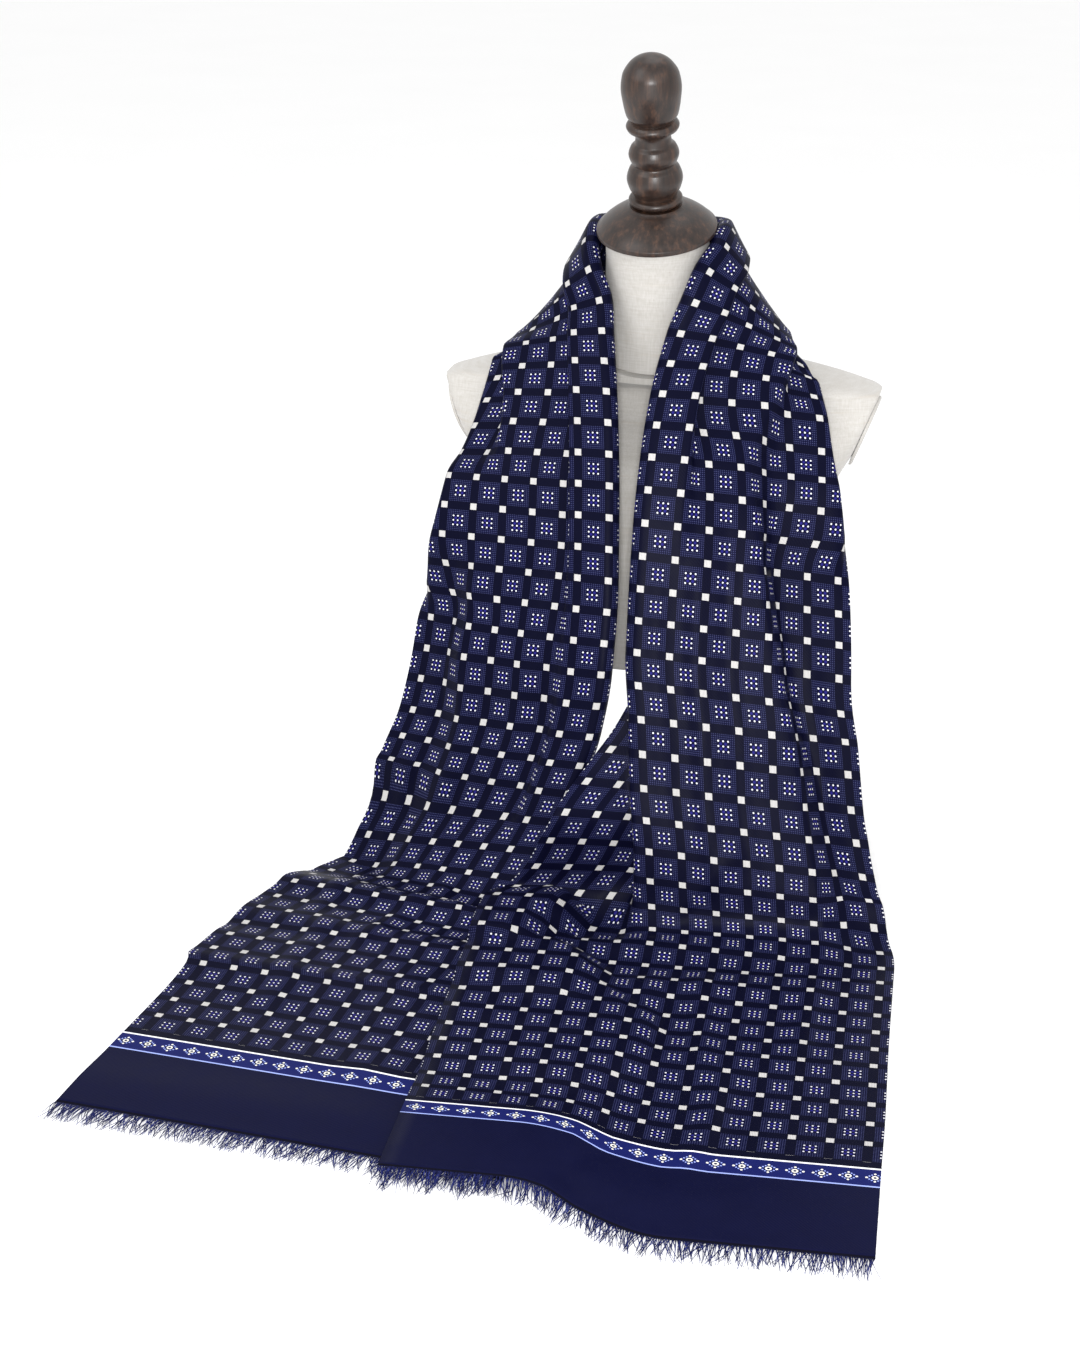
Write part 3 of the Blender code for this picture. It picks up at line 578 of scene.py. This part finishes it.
def printedSilk():
    # navy bands, ivory squares at their crossings, dotted blocks, a border and a plain end
    silk = Finish("printedSilk")
    chart = silk.add("ShaderNodeUVMap", {"uv_map": "printChart"})
    u = silk.add("ShaderNodeSeparateXYZ", None, {0: chart}, 0)
    v = silk.add("ShaderNodeSeparateXYZ", None, {0: chart}, 1)

    def nearest(x, step, start=0.0):
        # signed distance to the nearest line of a row of lines
        return ((x / step + (0.5 - start / step)).fract() - 0.5) * step

    bandU, bandV = abs(nearest(u, 1.0)), abs(nearest(v, 1.0))
    blockU, blockV = nearest(u, 1.0, 0.5), nearest(v, 1.0, 0.5)
    reach = abs(blockU).highest(abs(blockV))
    inPrint = (v > -0.9)
    square = (bandU < 0.105) * (bandV < 0.105) * inPrint
    stripe = (u * 24).fract() < 0.3
    block = (reach < 0.356) * inPrint

    def dots(step, start, size, x=blockU, y=blockV):
        dx, dy = nearest(x, step, start), nearest(y, step, start)
        return (dx * dx + dy * dy) < size * size

    tiny = dots(0.064, 0.032, 0.0165) * block * (reach > 0.214)
    big = dots(0.15, 0.0, 0.028) * block * (reach < 0.214)
    royal = dots(0.15, 0.075, 0.045) * block * (reach < 0.16)

    navy, deep = linearColour(9, 11, 40), linearColour(7, 8, 28)
    colour = silk.blend(block, deep, navy)
    colour = silk.blend(royal, colour, linearColour(34, 32, 104))
    colour = silk.blend(tiny, colour, linearColour(56, 59, 94))
    colour = silk.blend(big, colour, linearColour(206, 206, 214))
    ivory = silk.blend(stripe, linearColour(188, 186, 184), linearColour(150, 148, 150))
    colour = silk.blend(square, colour, ivory)

    # the border strip: a ring with points round it, every 17 mm
    strip = (v < -1.2) * (v > -2.04)
    x, y = nearest(u, 0.68), v + 1.62
    far = x * x + y * y
    ring = (far < 0.0075) * (far > 0.0019)
    heart = far < 0.0125
    colour = silk.blend(strip, colour, linearColour(22, 28, 84))
    colour = silk.blend(strip * heart, colour, linearColour(20, 24, 60))
    colour = silk.blend(strip * ring, colour, linearColour(226, 224, 214))
    for along, off, size, shade in (
        (0.215, 0.0, 0.036, (226, 224, 214)),
        (0.0, 0.175, 0.034, (226, 224, 214)),
        (0.145, 0.07, 0.026, (150, 165, 225)),
        (0.08, 0.125, 0.024, (150, 165, 225)),
    ):
        dx, dy = abs(x) - along, abs(y) - off
        point = (dx * dx + dy * dy) < size * size
        colour = silk.blend(strip * point, colour, linearColour(*shade))
    colour = silk.blend(abs(v + 1.2) < 0.034, colour, linearColour(232, 232, 236))
    colour = silk.blend(abs(v + 2.04) < 0.028, colour, linearColour(150, 165, 225))
    colour = silk.blend(v < -2.07, colour, linearColour(11, 13, 42))
    colour = silk.blend(v < -5.1, colour, linearColour(10, 10, 22))

    # fine twill, and slight unevenness of dye and gloss
    cloudy = silk.noise(silk.place(), 60, 2)
    dyed = {0: colour, 3: cloudy * 0.24 + 0.88}
    shade = silk.add("ShaderNodeVectorMath", {"operation": "SCALE"}, dyed)
    twill = ((u + v) * 60).maths("SINE")
    silk.surface(colour=shade, roughness=cloudy * 0.12 + 0.36, specular=0.03)
    silk.bump(twill * 0.3 + silk.noise(silk.place(), 900, 2), 0.16, 0.0003)
    return silk


fringe = {
    "strands": 480,
    "length": 24.0,
    "thick": 0.42,
    "seeds": {"left": 3, "right": 4},
    "overFull": 6.0,     # strands near the other end lie on it
    "overNone": 12.0,
    "overLess": 1.2,
}


def buildFringe(name, halves, yarn):
    _, points, _, outward, _ = halves[name]
    rng = np.random.default_rng(fringe["seeds"][name])
    hem = [Vector(p) for p in points[0]]
    lengths = np.concatenate(([0], np.cumsum([(b - a).length for a, b in zip(hem, hem[1:])])))
    other = halves["left"][4] if name == "right" else None
    bm = bmesh.new()
    for k in range(fringe["strands"]):
        along = (k + rng.uniform(0.1, 0.9)) / fringe["strands"] * lengths[-1]
        i = min(max(int(np.searchsorted(lengths, along)) - 1, 0), len(hem) - 2)
        between = (along - lengths[i]) / max(lengths[i + 1] - lengths[i], 1e-6)
        root = hem[i].lerp(hem[i + 1], between)
        sideways = (hem[-1] - hem[0]).normalized()
        long = fringe["length"] * rng.uniform(0.62, 1.0)
        lean = rng.normal(0, 0.22)
        curl = rng.normal(0, 0.16)
        lifted = rng.uniform(0.2, 2.2)
        previous = None
        for step in range(6):
            t = step / 5
            p = root + outward * (long * t) + sideways * long * (lean * t + curl * t * t)
            p.z = root.z * (1 - ease(t * 1.6)) + 0.5 * ease(t * 1.6)
            if other is not None:
                over = groundHeight(p, other, fringe["overFull"], fringe["overNone"])
                p.z = max(p.z, over - fringe["overLess"])
            p.z += lifted * math.sin(math.pi * min(t * 1.1, 1)) * 0.6
            width = fringe["thick"] * (1 - 0.6 * t) * rng.uniform(0.85, 1.15)
            ring = []
            for a in (0.5, 2.6, 4.7):
                rim = sideways * width * math.cos(a) + Vector((0, 0, width * math.sin(a)))
                ring.append(bm.verts.new((p + rim) * mm))
            if previous:
                for j in range(3):
                    bm.faces.new((previous[j], previous[(j + 1) % 3], ring[(j + 1) % 3], ring[j]))
            else:
                bm.faces.new(ring[::-1])
            previous = ring
        bm.faces.new(previous)
    return newPiece("silk_fringe_" + name, bm, yarn, ("fringe_" + name,))


def fringeYarn():
    yarn = Finish("fringeYarn")
    streak = yarn.noise(yarn.place((1, 0.1, 1)), 900, 2)
    tone = yarn.add("ShaderNodeValToRGB", {"stops": [
        (0.3, linearColour(14, 17, 50)),
        (0.55, linearColour(27, 33, 86)),
        (0.8, linearColour(58, 68, 138)),
    ]}, {0: streak})
    yarn.surface(colour=tone, roughness=streak * 0.2 + 0.42, specular=0.1)
    return yarn


dressForm = {
    "capCentre": (0.0, -28.0, 507.0),
    "neckTilt": 16.8,
    "neckLength": 98.0,
    "plateTop": (178.0, 384.0),
    "plateFoot": (150.0, 312.0),
    "plateMiddleY": 8.0,
    "plateHalfHeight": 30.0,
    "plateHalfDepth": 30.0,
    "around": 96,
    "torsoBottom": 159.0,
    "baseRadius": 105.0,
    "baseHeight": 14.0,
    "poleRadius": 12.5,
    "gap": 0.3,
}
torsoRings = readTable("""
z      half  front  back  square  lean
159    118    -78    74    2.3     0
166    122    -81    77    2.3     0
205    126    -86    82    2.3     0
255    132    -92    86    2.4     0
300    142    -88    88    2.4     0
325    154    -80    88    2.6     0
346    168    -58    86    2.7     0
366    180    -38    80    2.7     0
379    180    -34    70    2.7     2
386    158    -36    62    2.6     5
391    128    -40    56    2.4     9
396     98    -44    54    2.2    12
403     72    -50    53    2.1    15
409     56    -50    52    2.0    16.8
""")
neckProfile = readTable("""
up    radius
0     53
14    49
34    45
60    42
86    40.5
98    40.5
""")
capProfile = readTable("""
up    radius
0      8
0.01  45.5
1.2   47
4     47
5.2   45.6
9     42
15    34
20    24.5
22    20.5
23    20.5
""")
finialProfile = readTable("""
up    radius
23.3  17
26    20.3
28    20.8
30    19.5
31    16.6
38    20
45    21.6
53    19.4
57    16.2
59    17.6
65    19.4
71    17.4
74    14.3
79    13.6
83    15
85    19.2
88    20.4
91    18.6
92    16.6
97    19.8
108   22
118   23
128   21.6
136   17
141   11
143.5  4
""")


def leaningPlace():
    lean = Matrix.Rotation(math.radians(dressForm["neckTilt"]), 4, "X")
    return Matrix.Translation(Vector(dressForm["capCentre"]) * mm) @ lean


def ringSkin(name, rings, finish, nodes, placed=None):
    bm = bmesh.new()
    loops = [[bm.verts.new(Vector(p) * mm) for p in ring] for ring in rings]
    for lower, upper in zip(loops, loops[1:]):
        for k in range(len(lower)):
            j = (k + 1) % len(lower)
            bm.faces.new((lower[k], lower[j], upper[j], upper[k]))
    bm.faces.new(loops[0][::-1])
    bm.faces.new(loops[-1])
    if placed is not None:
        bm.transform(placed)
    piece = newPiece(name, bm, finish, nodes)
    piece.data.set_sharp_from_angle(angle=math.radians(40))
    return piece


def turnedPiece(name, profile, finish, nodes, placed=None, fine=1.2, shift=0.0):
    start, end = profile["up"][0], profile["up"][-1]
    heights = sorted({*np.linspace(start, end, max(3, int((end - start) / fine))), *profile["up"]})
    rings = []
    for up in heights:
        radius = curveThrough(up, profile["up"], profile["radius"])
        rings.append([
            (radius * math.cos(a), radius * math.sin(a), up + shift)
            for a in np.linspace(0, 2 * math.pi, dressForm["around"], endpoint=False)
        ])
    return ringSkin(name, rings, finish, nodes, placed)


def plateX(z):
    (topX, topZ), (footX, footZ) = dressForm["plateTop"], dressForm["plateFoot"]
    return footX + (z - footZ) * (topX - footX) / (topZ - footZ)


def torsoSkin(linen):
    heights = sorted({*np.linspace(torsoRings["z"][0], torsoRings["z"][-1], 72), *torsoRings["z"]})
    rings = []
    for z in heights:
        at = {k: curveThrough(z, torsoRings["z"], torsoRings[k]) for k in torsoRings if k != "z"}
        limit = plateX(z) if dressForm["plateFoot"][1] < z < dressForm["plateTop"][1] + 3 else 999
        ring = []
        for a in np.linspace(0, 2 * math.pi, 144, endpoint=False):
            x = at["half"] * math.copysign(abs(math.cos(a)) ** (2 / at["square"]), math.cos(a))
            reach = at["back"] if math.sin(a) > 0 else -at["front"]
            y = reach * math.copysign(abs(math.sin(a)) ** (2 / at["square"]), math.sin(a))
            ring.append((max(-limit, min(limit, x)), y, z + y * math.tan(math.radians(at["lean"]))))
        rings.append(ring)
    return ringSkin("linen_torso", rings, linen, ("form_torso",))


def armPlate(name, side, linen, node):
    top = Vector((dressForm["plateTop"][0], 0, dressForm["plateTop"][1]))
    foot = Vector((dressForm["plateFoot"][0], 0, dressForm["plateFoot"][1]))
    up = (top - foot).normalized()
    outward = Vector((up.z, 0, -up.x))
    middle = (top + foot) / 2 + Vector((0, dressForm["plateMiddleY"], 0))
    rings = []
    for off, inset in ((0.3, 0), (1.6, 0), (2.3, 0.5), (2.8, 1.6), (2.95, 8), (3.0, 24)):
        ring = []
        for a in np.linspace(0, 2 * math.pi, 72, endpoint=False):
            p = middle + outward * off + up * (dressForm["plateHalfHeight"] - inset) * math.sin(a)
            p.y += (dressForm["plateHalfDepth"] - inset) * math.cos(a)
            ring.append((side * p.x, p.y, p.z))
        rings.append(ring)
    return ringSkin(name, rings, linen, (node,))


def linenFinish():
    # plain weave in undyed linen, with slubs along both threads and darker flecks
    linen = Finish("undyedLinen")
    weft = linen.noise(linen.place((60, 60, 900)), 1.0, 2)
    warp = linen.noise(linen.place((900, 900, 60)), 1.0, 2)
    slub = linen.noise(linen.place((14, 14, 420)), 1.0, 2)
    fleck = linen.noise(linen.place((500, 500, 900)), 1.0, 1)
    threads = weft * 0.5 + warp * 0.5
    pale, mid = linearColour(190, 188, 185), linearColour(171, 167, 161)
    colour = linen.blend((threads * 2.2 - 0.75).clamped(), mid, pale)
    colour = linen.blend(((slub - 0.6) * 5).clamped() * 0.45, colour, linearColour(178, 168, 154))
    colour = linen.blend(((fleck - 0.7) * 8).clamped() * 0.5, colour, linearColour(150, 136, 120))
    linen.surface(colour=colour, roughness=threads * 0.1 + 0.84, specular=0.25, sheen=0.25)
    linen.bump(threads, 0.45, 0.0006)
    return linen


def woodFinish():
    # dark stained and turned: grain along the axis, and darker pores
    wood = Finish("darkTurnedWood")
    grain = wood.noise(wood.place((220, 220, 16)), 1.0, 5, 0.65)
    pores = wood.noise(wood.place((1400, 1400, 90)), 1.0, 2)
    tone = wood.add("ShaderNodeValToRGB", {"stops": [
        (0.3, linearColour(20, 13, 10)),
        (0.52, linearColour(40, 27, 21)),
        (0.75, linearColour(76, 52, 38)),
    ]}, {0: grain})
    colour = wood.blend(((pores - 0.58) * 6).clamped() * 0.6, tone, linearColour(24, 17, 16))
    wood.surface(colour=colour, roughness=grain * 0.2 + 0.28, specular=0.4, coat=0.15,
                 coatRoughness=0.3)
    wood.bump(pores * 0.6 + grain, 0.18, 0.0005)
    return wood


def metalFinish():
    metal = Finish("standMetal")
    brushed = metal.noise(metal.place((30, 30, 900)), 1.0, 3)
    colour = metal.blend(brushed, linearColour(120, 120, 122), linearColour(166, 166, 170))
    metal.surface(colour=colour, roughness=brushed * 0.2 + 0.3, metallic=1.0)
    metal.bump(brushed, 0.1, 0.0003)
    return metal


def buildForm(linen, wood, metal):
    made = [torsoSkin(linen)]
    made.append(armPlate("linen_plate_right", 1, linen, "arm_plate_right"))
    made.append(armPlate("linen_plate_left", -1, linen, "arm_plate_left"))
    tilt = leaningPlace()
    lowered = -dressForm["neckLength"] - dressForm["gap"]
    neckNode = ("form_neck",)
    made.append(turnedPiece("linen_neck", neckProfile, linen, neckNode, tilt, 4, lowered))
    made.append(turnedPiece("wood_neck_cap", capProfile, wood, ("neck_cap",), tilt, 0.8))
    made.append(turnedPiece("wood_finial", finialProfile, wood, ("finial",), tilt, 1.0))
    high, wide = dressForm["baseHeight"], dressForm["baseRadius"]
    base = {
        "up": np.array([0, 0.1 * high, 0.6 * high, 0.85 * high, high]),
        "radius": np.array([wide - 0.6, wide, wide, wide - 2.4, wide - 8]),
    }
    made.append(turnedPiece("metal_base", base, metal, ("stand_base",), None, 1.0))
    pole = {
        "up": np.array([high + dressForm["gap"], dressForm["torsoBottom"] - dressForm["gap"]]),
        "radius": np.array([dressForm["poleRadius"]] * 2),
    }
    made.append(turnedPiece("metal_pole", pole, metal, ("stand_pole",), None, 12))
    print("dress form:", len(made), "pieces")
    return made


studio = {
    "eye": (335.0, -1869.0, 840.0),
    "heading": 13.1,
    "down": 20.6,
    "focalPixels": 2400.0,
    "framePixels": (1080.0, 1350.0),
    "floorHigh": -0.4,
    "worldStrength": 1.0,
    "lightsMeet": (0.0, -0.15, 0.25),  # in metres, as the lights' own places
}


def buildStudio():
    heading, down = math.radians(studio["heading"]), math.radians(studio["down"])
    level = math.cos(down)
    ahead = Vector((-math.sin(heading) * level, math.cos(heading) * level, -math.sin(down)))
    lens = bpy.data.cameras.new("camera")
    lens.sensor_width = 36
    lens.lens = studio["focalPixels"] / studio["framePixels"][1] * lens.sensor_width
    lens.clip_start, lens.clip_end = 0.05, 50
    camera = bpy.data.objects.new("camera", lens)
    camera.location = Vector(studio["eye"]) * mm
    camera.rotation_mode = "QUATERNION"
    camera.rotation_quaternion = ahead.to_track_quat("-Z", "Y")
    bpy.context.scene.collection.objects.link(camera)
    bpy.context.scene.camera = camera
    bpy.context.scene.view_settings.view_transform = "Standard"  # whites stay white

    paper = Finish("paleFloor")
    mottle = paper.noise(paper.place(), 3, 2)
    colour = paper.blend(mottle, linearColour(250, 250, 250), linearColour(253, 253, 253))
    paper.surface(colour=colour, roughness=0.8, specular=0.2)
    bm = bmesh.new()
    spots = ((-9, -6), (9, -6), (9, 12), (-9, 12))
    bm.faces.new([bm.verts.new((x, y, studio["floorHigh"] * mm)) for x, y in spots])
    mesh = bpy.data.meshes.new("floor")
    bm.to_mesh(mesh)
    bm.free()
    mesh.materials.append(paper.material)
    floor = bpy.data.objects.new("floor", mesh)
    bpy.context.scene.collection.objects.link(floor)

    world = bpy.data.worlds.new("studio")
    world.use_nodes = True
    world.node_tree.nodes["Background"].inputs[0].default_value = (1, 1, 1, 1)
    world.node_tree.nodes["Background"].inputs[1].default_value = studio["worldStrength"]
    bpy.context.scene.world = world
    for name, place, size, watts in (
        ("keyLight", (-1.3, -1.5, 1.9), 1.3, 14),
        ("fillLight", (1.6, -1.2, 1.5), 1.4, 4),
        ("topLight", (0.1, 0.3, 2.2), 1.2, 6),
        ("frontLight", (0.335, -1.95, 0.86), 0.3, 30),
    ):
        light = bpy.data.lights.new(name, "AREA")
        light.size = size
        light.energy = watts
        lamp = bpy.data.objects.new(name, light)
        lamp.location = place
        lamp.rotation_mode = "QUATERNION"
        towards = Vector(studio["lightsMeet"]) - Vector(place)
        lamp.rotation_quaternion = towards.to_track_quat("-Z", "Y")
        bpy.context.scene.collection.objects.link(lamp)
    print("studio ready")


buildStudio()
buildForm(linenFinish(), woodFinish(), metalFinish())
scarfPiece, scarfHalves = buildScarf(printedSilk())
yarnFinish = fringeYarn()
fringes = [buildFringe(name, scarfHalves, yarnFinish) for name in ("left", "right")]
print("fringes:", fringe["strands"], "strands at each end")
